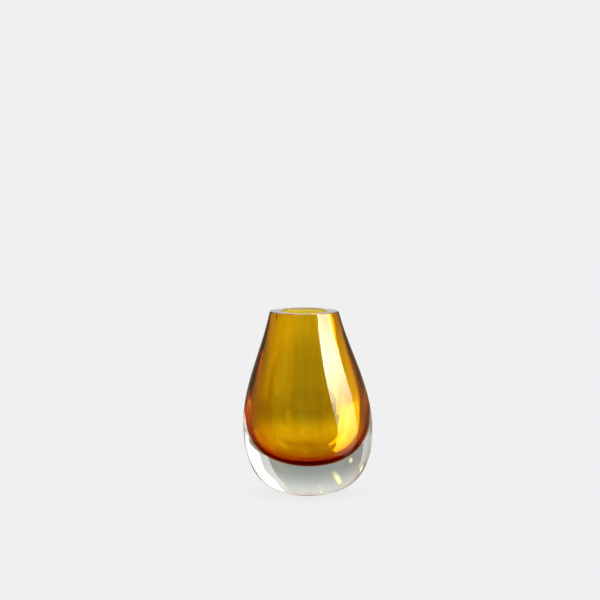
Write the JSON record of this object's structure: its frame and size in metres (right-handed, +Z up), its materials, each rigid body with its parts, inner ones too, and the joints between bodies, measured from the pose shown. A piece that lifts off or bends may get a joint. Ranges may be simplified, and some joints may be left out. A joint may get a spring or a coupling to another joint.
{
  "type": "glass bud vase",
  "caption": "Teardrop bud vase of cased glass: a heavy clear outer wall and solid base over a thin amber lining, with a flat cut rim and a flat foot.",
  "frame": {"origin": "centre of the flat foot, on the surface that the vase stands on", "axes": "+Z up along the axis of the vase, towards its mouth; the vase is round, so +X and +Y are free"},
  "size_m": [0.127, 0.127, 0.18],
  "materials": {
    "clear_glass": "fire polished, with a cut and polished rim and foot",
    "amber_glass": "transparent amber, polished"
  },
  "bodies": {
    "root": {"clear_casing": "clear_glass", "amber_lining": "amber_glass"}
  },
  "joints": []
}
